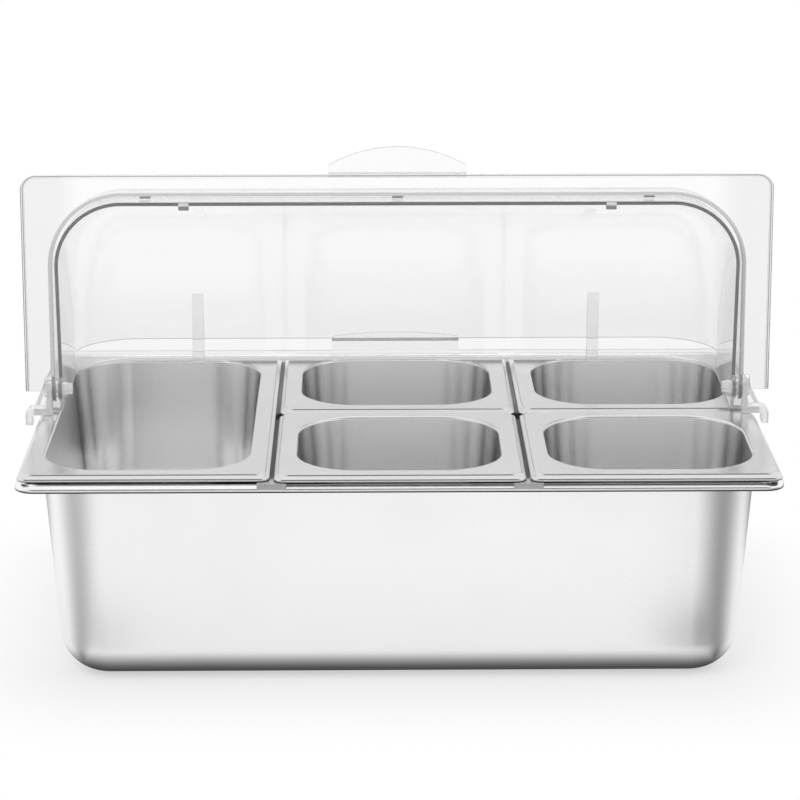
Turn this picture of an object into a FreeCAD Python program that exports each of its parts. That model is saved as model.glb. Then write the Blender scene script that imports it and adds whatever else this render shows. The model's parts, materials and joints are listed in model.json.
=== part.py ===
import FreeCAD, Part
import math
import os

# A countertop condiment display. A deep outer pan holds ice or cold water. Small pans hang in it by
# their rims, on two cross bars. Two clear covers turn on one pair of pivot pins, and nest when one is
# open. The front cover is drawn open and the rear cover closed. Lengths are in millimetres and angles
# in degrees. X runs along the long side, Y from front to back, Z up. The origin is the middle of the
# outer pan's underside.

# Outer pan
outer_length = 530.0
outer_width = 325.0
outer_height = 154.0
outer_sheet = 0.9
outer_rim_flat = 15.0
outer_rim_skirt = 5.5
outer_rim_corner = 14.0
outer_rim_edge = 2.0
outer_mouth_round = 3.0
outer_wall_corner = 45.0
outer_draft = 4.3
outer_bottom_round = 30.0

# Small pans, in three columns: one long pan, and two columns with a front and a rear pan each
pan_gap = 2.6
pan_side_inset = 1.75
pan_front_inset = 1.5
third_pan_inset = 4.0
pan_depth = 100.0
pan_sheet = 0.7
pan_wall_gap = 1.05
pan_rim_skirt = 4.7
pan_rim_corner = 7.0
pan_rim_edge = 2.6
pan_mouth_round = 3.5
pan_corner_relief = 3.0
pan_extra_draft = 0.2
pan_bottom_round = 16.0

# Cross bars under the joints between the columns
bar_width = 20.0
bar_sheet = 1.3
bar_lip = 4.0
bar_lip_gap = 0.2
bar_bend = 0.7
bar_side_depth = 9.0
bar_side_end_gap = 6.0

# Covers, sized from the inner face of the rear one, which nests inside the front one
axis_lift = 17.4
cover_wall = 2.6
dome_front_inset = 22.7
dome_end_inset = 19.0
dome_corner = 47.0
nest_gap_round = 1.8
nest_gap_end = 2.0
rear_end_angle = 94.5
front_end_angle = 87.0
front_open_angle = 93.0
flange_front = 13.2
flange_side = 18.7
flange_corner = 11.0
flange_start = 0.9
flange_gap = 0.3
root_round = 1.6
bead_width = 2.2
bead_height = 2.2
handle_length = 100.0
handle_riser = 10.0
handle_reach = 18.5
handle_end_reach = 5.0
handle_sheet = 2.5
stop_rib_width = 9.0
stop_rib_depth = 6.0
stop_rib_offset = 154.0
edge_tab_width = 7.5
edge_tab_depth = 3.2
edge_tab_thickness = 3.5
edge_tab_proud = 1.0
edge_tab_step = 0.4
guide_pad_width = 8.0
guide_pad_height = 1.2
guide_pad_length = 5.0
guide_pad_offset = 182.0

# Hinge brackets and pivot pins
bracket_seat_gap = 0.2
arm_thickness = 5.0
arm_front = 11.0
arm_back = 0.6
hook_gap = 3.0
hook_thickness = 5.0
hook_reach = 1.5
hook_corner = 5.0
post_thickness = 3.8
post_gap = 0.5
boss_radius = 7.0
ear_radius = 9.0
pin_radius = 4.5
pin_play = 0.05
pin_head_radius = 6.3
pin_head_thickness = 1.8
pin_barb = 0.6
pin_barb_gap = 0.4
pin_barb_length = 1.6
pin_nose_length = 5.0
pin_nose_radius = 4.0
pin_slot = 1.2
pin_slot_length = 11.0
washer_radius = 8.0
washer_gap = 0.5

# Sizes and places that follow from the ones above
V = FreeCAD.Vector
X_AXIS = V(1, 0, 0)
Y_AXIS = V(0, 1, 0)
Z_AXIS = V(0, 0, 1)
TOUCH = 1e-4
column_count = 3
pan_length = (outer_length - 2 * pan_side_inset - (column_count - 1) * pan_gap) / column_count
pan_pitch = pan_length + pan_gap
sixth_pan_width = (outer_width - 2 * pan_front_inset - pan_gap) / 2
third_pan_width = outer_width - 2 * third_pan_inset
pan_rim_flat = outer_rim_flat - pan_side_inset + pan_wall_gap + pan_sheet
pan_wall_corner = outer_wall_corner - pan_corner_relief
pan_draft = outer_draft + pan_extra_draft
bar_top = outer_height + bar_sheet
pan_rim_top = bar_top + pan_rim_skirt
arm_bottom = pan_rim_top + bracket_seat_gap
arm_top = arm_bottom + arm_thickness
axis_height = pan_rim_top + axis_lift
rear_radius = outer_width / 2 - dome_front_inset
rear_half = outer_length / 2 - dome_end_inset
front_radius = rear_radius + cover_wall + nest_gap_round
front_half = rear_half + cover_wall + nest_gap_end
front_corner = dome_corner + cover_wall + nest_gap_end
front_drop = axis_height - arm_top - flange_gap
rear_drop = axis_lift - flange_gap
post_inner = front_half + cover_wall + post_gap
post_outer = post_inner + post_thickness
hook_inner = outer_length / 2 + hook_gap
hook_outer = hook_inner + hook_thickness


def rounded_rectangle(length, width, radius, z):
    """Closed outline of a rectangle with round corners, centred on the Z axis at height z."""
    arcs = []
    for turn, (side_x, side_y) in enumerate([(1, 1), (-1, 1), (-1, -1), (1, -1)]):
        centre = V(side_x * (length / 2 - radius), side_y * (width / 2 - radius), z)
        arcs.append(Part.makeCircle(radius, centre, Z_AXIS, 90 * turn, 90 * turn + 90))
    sides = []
    for arc, following in zip(arcs, arcs[1:] + arcs[:1]):
        start = arc.valueAt(arc.LastParameter)
        end = following.valueAt(following.FirstParameter)
        sides.append(Part.makeLine(start, end))
    return Part.Wire(Part.__sortEdges__(arcs + sides))


def level_edges(shape, z, half_x, half_y):
    """Edges of a shape that lie flat at height z and stay within a box about the Z axis."""
    found = []
    for edge in shape.Edges:
        box = edge.BoundBox
        flat = abs(box.ZMin - z) < TOUCH and abs(box.ZMax - z) < TOUCH
        wide = max(-box.XMin, box.XMax) <= half_x + TOUCH
        deep = max(-box.YMin, box.YMax) <= half_y + TOUCH
        if flat and wide and deep:
            found.append(edge)
    return found


def tapered_block(length, width, corner, draft, top, depth, bottom_round):
    """Solid that narrows downwards at the draft angle, with conical corners and a rounded edge round
    its bottom."""
    shift = depth * math.tan(math.radians(draft))
    upper = rounded_rectangle(length, width, corner, top)
    lower = rounded_rectangle(length - 2 * shift, width - 2 * shift, corner - shift, top - depth)
    block = Part.makeLoft([lower, upper], True, True)
    return block.makeFillet(bottom_round, level_edges(block, top - depth, length / 2, width / 2))


def rim_block(length, width, corner, top, height, edge_round):
    """Flat slab with round corners in plan and a rounded edge round its top."""
    slab = Part.Face(rounded_rectangle(length, width, corner, top - height)).extrude(V(0, 0, height))
    return slab.makeFillet(edge_round, level_edges(slab, top, length / 2, width / 2))


def steel_pan(length, width, top, depth, sheet, flat, skirt, rim_corner, rim_edge, mouth_round,
              wall_corner, draft, bottom_round):
    """Drawn sheet pan: tapered tub, flat rim, and a skirt turned down round the rim."""
    mouth_length = length - 2 * flat
    mouth_width = width - 2 * flat
    rim = rim_block(length, width, rim_corner, top, skirt, rim_edge)
    under = rim_block(length - 2 * sheet, width - 2 * sheet, rim_corner - sheet, top - sheet,
                      skirt - sheet, rim_edge - sheet)
    outside = tapered_block(mouth_length + 2 * sheet, mouth_width + 2 * sheet, wall_corner + sheet,
                            draft, top, depth, bottom_round)
    inside = tapered_block(mouth_length, mouth_width, wall_corner, draft, top, depth - sheet,
                           bottom_round - sheet)
    pan = rim.cut(under).fuse(outside).cut(inside).removeSplitter()
    neck = level_edges(pan, top - sheet, mouth_length / 2 + sheet, mouth_width / 2 + sheet)
    pan = pan.makeFillet(mouth_round - sheet, neck)
    mouth = level_edges(pan, top, mouth_length / 2, mouth_width / 2)
    return pan.makeFillet(mouth_round, mouth)


def outer_pan():
    """Deep full-size pan that carries everything else on its rim."""
    return steel_pan(outer_length, outer_width, outer_height, outer_height, outer_sheet,
                     outer_rim_flat, outer_rim_skirt, outer_rim_corner, outer_rim_edge,
                     outer_mouth_round, outer_wall_corner, outer_draft, outer_bottom_round)


def small_pan(width, column, middle_y):
    """Hanging pan in one of the columns, counted -1, 0 and 1 from the left."""
    pan = steel_pan(pan_length, width, pan_rim_top, pan_depth, pan_sheet, pan_rim_flat,
                    pan_rim_skirt, pan_rim_corner, pan_rim_edge, pan_mouth_round, pan_wall_corner,
                    pan_draft, pan_bottom_round)
    return pan.translated(V(column * pan_pitch, middle_y, 0))


def support_bar(joint):
    """Cross bar under one joint between columns: a strip with its long sides turned down and a lip
    over the outer pan's rim at each end."""
    half_strip = outer_width / 2 + bar_lip_gap + bar_sheet
    strip = Part.makeBox(bar_width, 2 * half_strip, bar_sheet, V(-bar_width / 2, -half_strip, outer_height))
    lip_bottom = bar_top - bar_lip
    lip_y = outer_width / 2 + bar_lip_gap
    bar = strip
    for y in (lip_y, -lip_y - bar_sheet):
        bar = bar.fuse(Part.makeBox(bar_width, bar_sheet, bar_lip, V(-bar_width / 2, y, lip_bottom)))
    half_side = outer_width / 2 - outer_rim_flat - bar_side_end_gap
    side_bottom = bar_top - bar_side_depth
    for x in (-bar_width / 2, bar_width / 2 - bar_sheet):
        bar = bar.fuse(Part.makeBox(bar_sheet, 2 * half_side, bar_side_depth, V(x, -half_side, side_bottom)))
    bar = bar.removeSplitter()
    bends = []
    for edge in level_edges(bar, bar_top, bar_width / 2, half_strip):
        if abs(edge.BoundBox.YMax) > half_strip - TOUCH and edge.BoundBox.YLength < TOUCH:
            bends.append(edge)
    return bar.makeFillet(bar_bend, bends).translated(V(joint * pan_pitch, 0, 0))


def dome_line(radius, half, corner, start):
    """Arch of a cover in the XY plane: up one end wall, round to the long wall, down the other end."""
    left_foot = V(-half, start, 0)
    left_top = V(-half, radius - corner, 0)
    top_left = V(corner - half, radius, 0)
    top_right = V(half - corner, radius, 0)
    right_top = V(half, radius - corner, 0)
    right_foot = V(half, start, 0)
    left_centre = V(corner - half, radius - corner, 0)
    right_centre = V(half - corner, radius - corner, 0)
    return [
        Part.makeLine(left_foot, left_top),
        Part.makeCircle(corner, left_centre, Z_AXIS, 90, 180),
        Part.makeLine(top_left, top_right),
        Part.makeCircle(corner, right_centre, Z_AXIS, 0, 90),
        Part.makeLine(right_top, right_foot),
    ]


def dome_face(radius, half, corner, start):
    """The whole area under a cover's arch."""
    base = Part.makeLine(V(half, start, 0), V(-half, start, 0))
    return Part.Face(Part.Wire(Part.__sortEdges__(dome_line(radius, half, corner, start) + [base])))


def dome_band(radius, half, corner, start):
    """The wall of a cover's arch, given by its inner face."""
    outside = dome_face(radius + cover_wall, half + cover_wall, corner + cover_wall, start)
    return outside.cut(dome_face(radius, half, corner, start))


def flange_outline(half, reach, corner, start):
    """Flange outline in plan: open towards the hinge, with its two far corners rounded."""
    points = [V(-half, start, 0), V(half, start, 0), V(half, reach - corner, 0)]
    points += [V(half - corner, reach, 0), V(corner - half, reach, 0), V(-half, reach - corner, 0)]
    edges = [
        Part.makeLine(points[0], points[1]),
        Part.makeLine(points[1], points[2]),
        Part.makeCircle(corner, V(half - corner, reach - corner, 0), Z_AXIS, 0, 90),
        Part.makeLine(points[3], points[4]),
        Part.makeCircle(corner, V(corner - half, reach - corner, 0), Z_AXIS, 90, 180),
        Part.makeLine(points[5], points[0]),
    ]
    return Part.Face(Part.Wire(Part.__sortEdges__(edges)))


def cover_handle(reach, top):
    """Lens-shaped pull: a riser on the flange's far edge and a tab that bows outwards."""
    half = handle_length / 2
    inner = reach - cover_wall
    riser_top = top + handle_riser
    riser = Part.makeBox(handle_length, cover_wall, handle_riser, V(-half, inner, top))
    left = V(-half, reach + handle_end_reach, riser_top)
    right = V(half, reach + handle_end_reach, riser_top)
    bow = Part.Arc(right, V(0, reach + handle_reach, riser_top), left).toShape()
    sides = Part.makePolygon([left, V(-half, inner, riser_top), V(half, inner, riser_top), right])
    tab = Part.Face(Part.Wire(Part.__sortEdges__([bow] + sides.Edges))).extrude(V(0, 0, handle_sheet))
    return riser.fuse(tab)


def roll_cover(radius, half, corner, end_angle, drop):
    """Closed cover about the X axis, its flange towards +Y and that far below the axis: an arch turned
    to its end angle, carried straight down to a flange with a bead, a handle and two pivot ears."""
    outer_radius = radius + cover_wall
    outer_half = half + cover_wall
    reach = outer_radius + flange_front
    flange_half = outer_half + flange_side
    flange_top = cover_wall - drop
    shell = dome_band(radius, half, corner, 0).revolve(V(0, 0, 0), X_AXIS, end_angle)
    skirt = dome_band(radius, half, corner, flange_start).extrude(V(0, 0, -drop))
    outline = flange_outline(flange_half, reach, flange_corner, flange_start)
    inset = flange_outline(flange_half - bead_width, reach - bead_width, flange_corner - bead_width,
                           flange_start)
    mouth = dome_face(radius, half, corner, flange_start)
    flange = outline.cut(mouth).extrude(V(0, 0, cover_wall))
    bead = outline.cut(inset).extrude(V(0, 0, cover_wall + bead_height))
    plate = flange.fuse(bead).translated(V(0, 0, -drop))
    cover = shell.fuse([skirt, plate, cover_handle(reach, flange_top)]).removeSplitter()
    crease = level_edges(cover, flange_top, outer_half, outer_radius)
    cover = cover.makeFillet(root_round, crease)
    for x in (half, -outer_half):
        ear = Part.makeCylinder(ear_radius, cover_wall, V(x, 0, 0), X_AXIS)
        cover = cover.fuse(ear)
    return cover.removeSplitter()


def drill_ears(cover, outer_half):
    """Cover with its pivot holes, which run on the pins."""
    drill = Part.makeCylinder(pin_radius + pin_play, 2 * outer_half, V(-outer_half, 0, 0), X_AXIS)
    return cover.cut(drill)


def rear_cover():
    """Inner cover, closed, with two stop ribs at its foot and two tabs on its free edge."""
    cover = roll_cover(rear_radius, rear_half, dome_corner, rear_end_angle, rear_drop)
    outer_radius = rear_radius + cover_wall
    filled = Part.makeCylinder(outer_radius, 2 * rear_half, V(-rear_half, 0, 0), X_AXIS)
    filled = filled.fuse(Part.makeBox(2 * rear_half, outer_radius, rear_drop, V(-rear_half, 0, -rear_drop)))
    pieces = []
    for side in (-1, 1):
        rib_corner = V(side * stop_rib_offset - stop_rib_width / 2, rear_radius - stop_rib_depth, -rear_drop)
        rib = Part.makeBox(stop_rib_width, cover_wall + stop_rib_depth, rear_drop + rear_radius, rib_corner)
        pieces.append(rib.common(filled))
        tab_corner = V(side * stop_rib_offset - edge_tab_width / 2, rear_radius - edge_tab_depth,
                       edge_tab_proud - edge_tab_thickness)
        tab_height = edge_tab_depth + cover_wall - edge_tab_step
        tab = Part.makeBox(edge_tab_width, tab_height, edge_tab_thickness, tab_corner)
        pieces.append(tab.rotated(V(0, 0, 0), X_AXIS, rear_end_angle))
    cover = cover.fuse(pieces).removeSplitter()
    return drill_ears(cover, rear_half + cover_wall).translated(V(0, 0, axis_height))


def front_cover():
    """Outer cover, turned up over the rear one, with guide pads, pivot washers, and a notch in each
    end of its flange for the bracket's post."""
    cover = roll_cover(front_radius, front_half, front_corner, front_end_angle, front_drop)
    outer_half = front_half + cover_wall
    washer_height = nest_gap_end - washer_gap
    pieces = []
    for x in (front_half - washer_height, -front_half):
        pieces.append(Part.makeCylinder(washer_radius, washer_height, V(x, 0, 0), X_AXIS))
    for x in (-guide_pad_offset, 0, guide_pad_offset):
        corner = V(x - guide_pad_width / 2, front_radius - guide_pad_height, -front_drop)
        depth = guide_pad_height + cover_wall / 2
        pieces.append(Part.makeBox(guide_pad_width, depth, guide_pad_length, corner))
    cover = drill_ears(cover.fuse(pieces).removeSplitter(), outer_half)
    notch_width = post_outer - outer_half + post_gap
    notch_length = arm_front + post_gap
    for x in (outer_half, -outer_half - notch_width):
        notch = Part.makeBox(notch_width, notch_length, cover_wall + root_round, V(x, 0, -front_drop))
        cover = cover.cut(notch)
    cover = cover.rotated(V(0, 0, 0), Z_AXIS, 180)
    return cover.rotated(V(0, 0, 0), X_AXIS, -front_open_angle).translated(V(0, 0, axis_height))


def hinge_bracket():
    """Right bracket: an arm on the small pans' rims, a hook outside the outer rim, and a post with a
    round boss that carries the pivot pin."""
    hook_bottom = outer_height - hook_reach
    corner_centre = V(hook_outer - hook_corner, -arm_front, arm_top - hook_corner)
    corner = Part.makeCircle(hook_corner, corner_centre, Y_AXIS, 270, 360)
    outline = [
        V(hook_outer, -arm_front, arm_top - hook_corner),
        V(hook_outer, -arm_front, hook_bottom),
        V(hook_inner, -arm_front, hook_bottom),
        V(hook_inner, -arm_front, arm_bottom),
        V(post_inner, -arm_front, arm_bottom),
        V(post_inner, -arm_front, arm_top),
        V(hook_outer - hook_corner, -arm_front, arm_top),
    ]
    wire = Part.Wire(Part.__sortEdges__([corner] + Part.makePolygon(outline).Edges))
    arm = Part.Face(wire).extrude(V(0, arm_front + arm_back, 0))
    boss = Part.makeCylinder(boss_radius, post_thickness, V(post_inner, 0, axis_height), X_AXIS)
    foot_distance = math.hypot(arm_front, axis_height - arm_top)
    foot_angle = math.atan2(arm_top - axis_height, -arm_front)
    touch_angle = foot_angle - math.acos(boss_radius / foot_distance)
    touch_y = boss_radius * math.cos(touch_angle)
    touch_z = axis_height + boss_radius * math.sin(touch_angle)
    web = Part.makePolygon([
        V(post_inner, -arm_front, arm_bottom),
        V(post_inner, -arm_front, arm_top),
        V(post_inner, touch_y, touch_z),
        V(post_inner, 0, axis_height),
        V(post_inner, arm_back, axis_height),
        V(post_inner, arm_back, arm_bottom),
        V(post_inner, -arm_front, arm_bottom),
    ])
    post = Part.Face(web).extrude(V(post_thickness, 0, 0))
    bracket = arm.fuse([boss, post]).removeSplitter()
    bore = Part.makeCylinder(pin_radius + pin_play, post_thickness, V(post_inner, 0, axis_height), X_AXIS)
    return bracket.cut(bore)


def pivot_pin():
    """Right pin: a flat head outside the post, a plain shank, and a split nose with a barb behind the
    inner ear."""
    barb_start = rear_half - pin_barb_gap
    barb_end = barb_start - pin_barb_length
    nose_end = barb_end - pin_nose_length
    barb_radius = pin_radius + pin_barb
    profile = Part.makePolygon([
        V(nose_end, 0, 0),
        V(nose_end, pin_nose_radius, 0),
        V(barb_end, barb_radius, 0),
        V(barb_start, barb_radius, 0),
        V(barb_start, pin_radius, 0),
        V(post_outer, pin_radius, 0),
        V(post_outer, pin_head_radius, 0),
        V(post_outer + pin_head_thickness, pin_head_radius, 0),
        V(post_outer + pin_head_thickness, 0, 0),
        V(nose_end, 0, 0),
    ])
    pin = Part.Face(profile).revolve(V(0, 0, 0), X_AXIS, 360)
    slot_corner = V(nose_end, -barb_radius, -pin_slot / 2)
    slot = Part.makeBox(pin_slot_length, 2 * barb_radius, pin_slot, slot_corner)
    return pin.cut(slot).translated(V(0, 0, axis_height))


def mirrored(shape):
    """The left-hand twin of a right-hand piece."""
    return shape.mirror(V(0, 0, 0), X_AXIS)


sixth_y = (sixth_pan_width + pan_gap) / 2
bracket = hinge_bracket()
pin = pivot_pin()
parts = {
    "outer_pan": outer_pan(),
    "third_size_pan": small_pan(third_pan_width, -1, 0),
    "sixth_pan_centre_front": small_pan(sixth_pan_width, 0, -sixth_y),
    "sixth_pan_centre_rear": small_pan(sixth_pan_width, 0, sixth_y),
    "sixth_pan_right_front": small_pan(sixth_pan_width, 1, -sixth_y),
    "sixth_pan_right_rear": small_pan(sixth_pan_width, 1, sixth_y),
    "support_bar_left": support_bar(-0.5),
    "support_bar_right": support_bar(0.5),
    "front_cover": front_cover(),
    "rear_cover": rear_cover(),
    "hinge_bracket_left": mirrored(bracket),
    "hinge_bracket_right": bracket,
    "pivot_pin_left": mirrored(pin),
    "pivot_pin_right": pin,
}

os.makedirs("parts", exist_ok=True)
for name, shape in parts.items():
    shape.exportStep(f"parts/{name}.step")
    box = shape.BoundBox
    print(name, len(shape.Solids), "solid", shape.isValid(), round(shape.Volume), "mm3",
          [round(v, 1) for v in (box.XMin, box.YMin, box.ZMin, box.XMax, box.YMax, box.ZMax)])
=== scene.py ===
# %% [markdown]
# # A countertop condiment display
# Small steel pans hang in a deep steel pan of ice, under two clear covers that roll over each other.
# A finished mechanical model is the frame here: it fixes every size, place and hinge. This lesson gives
# it smooth surfaces, finishes, light and a camera. It could dress the model's own faceted meshes, but
# polished metal and clear plastic show every facet, so the large pieces are worked out again as formulas.

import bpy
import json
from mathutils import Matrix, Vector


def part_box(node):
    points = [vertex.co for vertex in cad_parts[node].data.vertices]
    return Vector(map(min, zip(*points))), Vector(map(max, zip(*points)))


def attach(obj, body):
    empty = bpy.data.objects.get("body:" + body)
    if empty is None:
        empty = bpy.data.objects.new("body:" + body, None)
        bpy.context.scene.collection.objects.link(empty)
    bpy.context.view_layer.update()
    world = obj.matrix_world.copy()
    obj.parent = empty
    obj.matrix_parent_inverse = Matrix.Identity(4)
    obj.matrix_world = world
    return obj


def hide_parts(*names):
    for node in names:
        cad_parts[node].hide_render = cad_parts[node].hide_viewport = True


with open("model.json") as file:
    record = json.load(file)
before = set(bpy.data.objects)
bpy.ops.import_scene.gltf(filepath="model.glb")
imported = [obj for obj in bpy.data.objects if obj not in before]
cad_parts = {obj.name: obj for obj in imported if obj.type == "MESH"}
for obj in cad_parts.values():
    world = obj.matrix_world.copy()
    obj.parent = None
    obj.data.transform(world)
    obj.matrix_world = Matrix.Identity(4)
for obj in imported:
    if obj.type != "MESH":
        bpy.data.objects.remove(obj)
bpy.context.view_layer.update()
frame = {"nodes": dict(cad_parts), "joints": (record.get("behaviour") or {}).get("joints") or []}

# %% [markdown]
# Blender measures in metres, and a maker of pans in millimetres, so sizes are written in millimetres
# times MM. numpy works out whole arrays of points at once, which is short to write and quick to run.

# %% Tools and units
import json
import math

import bmesh
import bpy
import numpy as np
from mathutils import Vector

MM = 0.001
AXIS_HEIGHT = next(j for j in frame["joints"] if j["name"] == "front_cover_hinge")["pos_m"][2]
print("hinge axis at", AXIS_HEIGHT)

# %% [markdown]
# Every new surface is a grid of points. The quads between them follow from their numbers alone, so one
# function serves the pans, covers and handles. Others put points and faces into a mesh and set it on the
# body that carries it.


# %% Grids and pieces
def together(*parts):
    """Arrays stretched to one shape and put side by side, such as the x, y and z of points."""
    return np.stack(np.broadcast_arrays(*parts), axis=-1)


def grid_quads(rows, columns, closed=False):
    """Corners of the quads of a grid numbered row by row: each point, the next one along its row, and
    the two in the row after. A closed grid joins each row's end to its start."""
    row = np.arange(rows - 1)[:, None] * columns
    column = np.arange(columns if closed else columns - 1)[None, :]
    across = (column + 1) % columns
    below = row + columns
    return together(row + column, row + across, below + across, below + column).reshape(-1, 4)


def linked_mesh(name, points, faces):
    """Mesh object from arrays of points and faces, linked to the scene."""
    mesh = bpy.data.meshes.new(name)
    mesh.from_pydata(points.tolist(), [], faces)
    linked = bpy.data.objects.new(name, mesh)
    bpy.context.scene.collection.objects.link(linked)
    return linked


def add_piece(name, points, faces, body, slot, *nodes):
    """Smooth mesh object that rides on a body in place of the named nodes."""
    piece = linked_mesh(name, points, faces)
    piece.data.shade_smooth()
    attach(piece, body)
    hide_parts(*nodes)
    print(name, len(piece.data.vertices), "points", len(piece.data.polygons), "faces on", body)
    return piece


def dress(piece, *finishes):
    """Gives a piece its finishes, in the order of its slots."""
    for finish in finishes:
        piece.data.materials.append(finish)


# %% [markdown]
# A drawn pan has one profile all the way round: floor, rounded foot, sloping wall, rolled mouth, flat
# rim and a skirt turned down. It could be cut from a solid, but a profile carried round a rounded
# rectangle is how the sheet really lies, and it gives an exact direction for every point, so that
# reflections run cleanly over the bends.


# %% Rounded rectangles
def ring_stations(per_corner, per_side):
    """Stations round a rounded rectangle: the direction each one faces, and where the centre of its
    bend lies, as shares of the straight half sides from -1 to 1."""
    facing, share_x, share_y = [], [], []
    corners = [(1, 1), (-1, 1), (-1, -1), (1, -1)]
    for quarter, (x, y) in enumerate(corners):
        next_x, next_y = corners[(quarter + 1) % 4]
        along = np.linspace(0, 1, per_side + 1)[1:-1]
        facing += [np.linspace(0, 90, per_corner + 1) + 90 * quarter, np.full(along.size, 90 * quarter + 90)]
        share_x += [np.full(per_corner + 1, x), x + (next_x - x) * along]
        share_y += [np.full(per_corner + 1, y), y + (next_y - y) * along]
    return np.radians(np.concatenate(facing)), np.concatenate(share_x), np.concatenate(share_y)


def arc(centre, radius, start, end, steps):
    """Points on an arc in the profile's plane, as inset, height and angle in degrees: the centre plus
    the radius times the cosine and sine of the angle."""
    angle = np.linspace(start, end, steps + 1)
    turn = np.radians(angle)
    return together(centre[0] + radius * np.cos(turn), centre[1] + radius * np.sin(turn), angle)


def run(start, end, facing, steps):
    """Points inside a straight run of the profile, without its ends, all facing one way."""
    share = np.linspace(0, 1, steps + 1)[1:-1, None]
    points = np.asarray(start)[None, :2] * (1 - share) + np.asarray(end)[None, :2] * share
    return np.concatenate([points, np.full((len(points), 1), facing)], axis=1)


# %% [markdown]
# The profile is written as it is bent: arcs where the press rounds the sheet, straight runs between. The
# rim's edge steps down steeply, leans out and steps down again, which stiffens it and draws two thin dark
# lines along a polished rim. Insets are measured from the rim's outer edge. The wall's outside is the
# inside moved out by the sheet's thickness, so each outer arc shares its centre with the inner one.


# %% Pan profile
RIM_FACETS = [(0.75 * MM, 62), (3.2 * MM, 38), (0.75 * MM, 61)]
FACET_ROWS = np.array([0.12, 0.88])
FLAT_MARGIN = 0.25 * MM
SKIRT_MARGIN = 0.35 * MM
RIM, HEM, WELL = 0, 1, 2


def rolled_edge(top, sheet):
    """Outer and inner points of the rim's edge: facets one after another, each with a length and a slope,
    that end at no inset. The inner points lie one sheet behind, halfway between the slopes they join."""
    length, slope = np.array(RIM_FACETS).T
    turn = np.radians(slope)
    step = -together(length * np.cos(turn), length * np.sin(turn))
    corner = np.concatenate([[[0, 0]], np.cumsum(step, axis=0)])
    corner += [-corner[-1, 0], top]
    ends = corner[:-1, None] + step[:, None] * FACET_ROWS[None, :, None]
    outer = np.column_stack([ends.reshape(-1, 2), np.repeat(slope + 90, 2)])
    between = (np.append(0, slope) + np.append(slope, 90)) / 2
    behind = corner + sheet * together(np.sin(np.radians(between)), -np.cos(np.radians(between)))
    return outer, np.column_stack([behind, between + 270])[::-1]


def pan_profile(size):
    """Inset, height and facing angle from the floor, up the inside, over the rim and down the outside to the
    underside, which part of the pan each point belongs to, and where the mouth lies."""
    top, depth, sheet, flat = size["top"], size["depth"], size["sheet"], size["flat"]
    slope = math.radians(size["draft"])
    mouth, foot = size["mouth"], size["foot"]
    hem = top - size["skirt"] + sheet / 2
    wall_foot = sheet + (foot - sheet) * (1 - math.sin(slope))
    foot_inset = flat + (depth - wall_foot) * math.tan(slope) + (foot - sheet) * math.cos(slope)
    foot_centre = (foot_inset, top - depth + foot)
    mouth_inset = flat + mouth * (1 - math.sin(slope)) * math.tan(slope) - mouth * math.cos(slope)
    mouth_centre = (mouth_inset, top - mouth)
    tilt = size["draft"]
    inner_foot = arc(foot_centre, foot - sheet, 270, 180 + tilt, 10) + [0, 0, -180]
    inner_mouth = arc(mouth_centre, mouth, tilt, 90, 8)
    outer_edge, inner_edge = rolled_edge(top, sheet)
    flat_end = np.array([[outer_edge[0, 0] + FLAT_MARGIN, top, 90]])
    skirt_line = np.array([[0, outer_edge[-1, 1] - SKIRT_MARGIN, 180]])
    hem_round = arc((sheet / 2, hem), sheet / 2, 180, 360, 4)
    # The hem band takes a near-black finish: the cut edge's dull colour plus painted shade under the rim.
    hem_shade_line = np.array([[0, hem + size["sheared"], 180]])
    neck = arc(mouth_centre, mouth - sheet, 90, tilt, 4) + [0, 0, 180]
    outer_foot = arc(foot_centre, foot, 180 + tilt, 270, 14)
    well = np.concatenate([inner_foot, run(inner_foot[-1], inner_mouth[0], tilt, 5), inner_mouth[:1]])
    rim = np.concatenate([inner_mouth[1:], run(inner_mouth[-1], flat_end[0], 90, 4), flat_end,
                          outer_edge, skirt_line])
    hem_rows = np.concatenate([hem_shade_line, hem_round])
    outside = np.concatenate([inner_edge, run(inner_edge[-1], neck[0], 270, 3), neck,
                              run(neck[-1], outer_foot[0], 180 + tilt, 6), outer_foot])
    part = np.repeat([WELL, RIM, HEM, RIM], [len(well), len(rim), len(hem_rows), len(outside)])
    return np.concatenate([well, rim, hem_rows, outside]), part, mouth_inset


# %% [markdown]
# The profile now goes round the pan. A drawn pan has wide corners at the wall and narrow ones at the rim, so
# the corner's radius changes with the inset. Each quad keeps the part of the sheet that it lies in, for its
# finish, and a UV map in metres lets the rolling marks follow the sheet.


# %% Carry the profile round
EDGE_BAND = 2 * MM


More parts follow.
